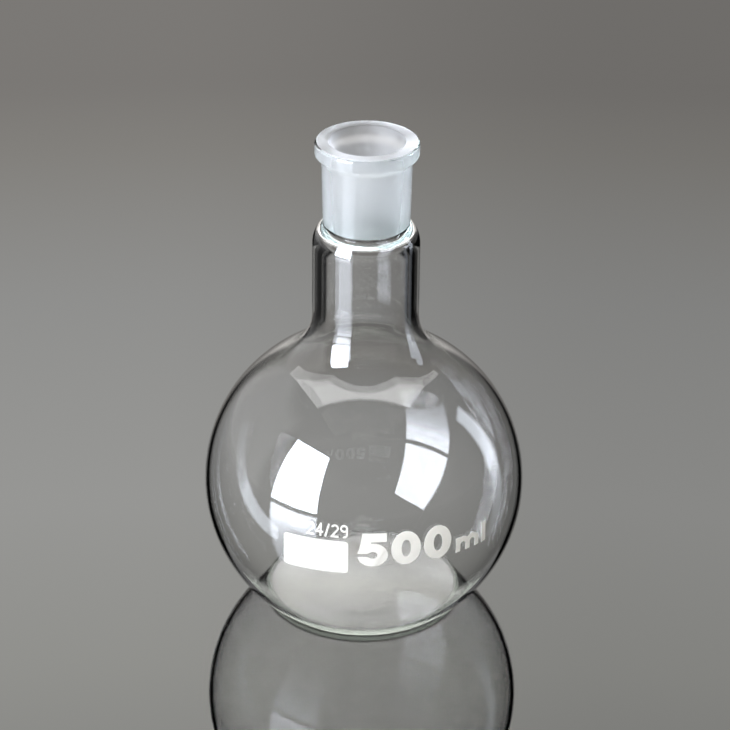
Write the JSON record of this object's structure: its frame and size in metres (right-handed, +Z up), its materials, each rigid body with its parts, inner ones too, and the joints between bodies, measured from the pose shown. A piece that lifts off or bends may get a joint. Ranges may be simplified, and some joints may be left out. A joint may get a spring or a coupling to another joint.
{
  "type": "flat-bottomed boiling flask",
  "caption": "Flat-bottomed boiling flask of clear blown glass with a ground-glass joint socket on its neck, for holding, heating or boiling liquids.",
  "frame": {"origin": "middle of the base, on the plane of the ring that the flask stands on", "axes": "+Z is up, along the axis of the neck; -Y is the front, where the capacity number starts; +X is to the right when facing the front"},
  "size_m": [0.105, 0.1051, 0.163],
  "materials": {
    "blown_glass": "clear borosilicate glass, fire-polished and glossy inside and out",
    "joint_glass": "clear glass, glossy outside, with a finely ground, milky taper inside",
    "white_enamel": "opaque white enamel print, fired on, faintly glossy"
  },
  "bodies": {
    "root": {"flask_body": "blown_glass", "joint_socket": "joint_glass", "writing_panel": "white_enamel", "capacity_number": "white_enamel", "capacity_unit": "white_enamel", "joint_size_mark": "white_enamel"}
  },
  "joints": []
}
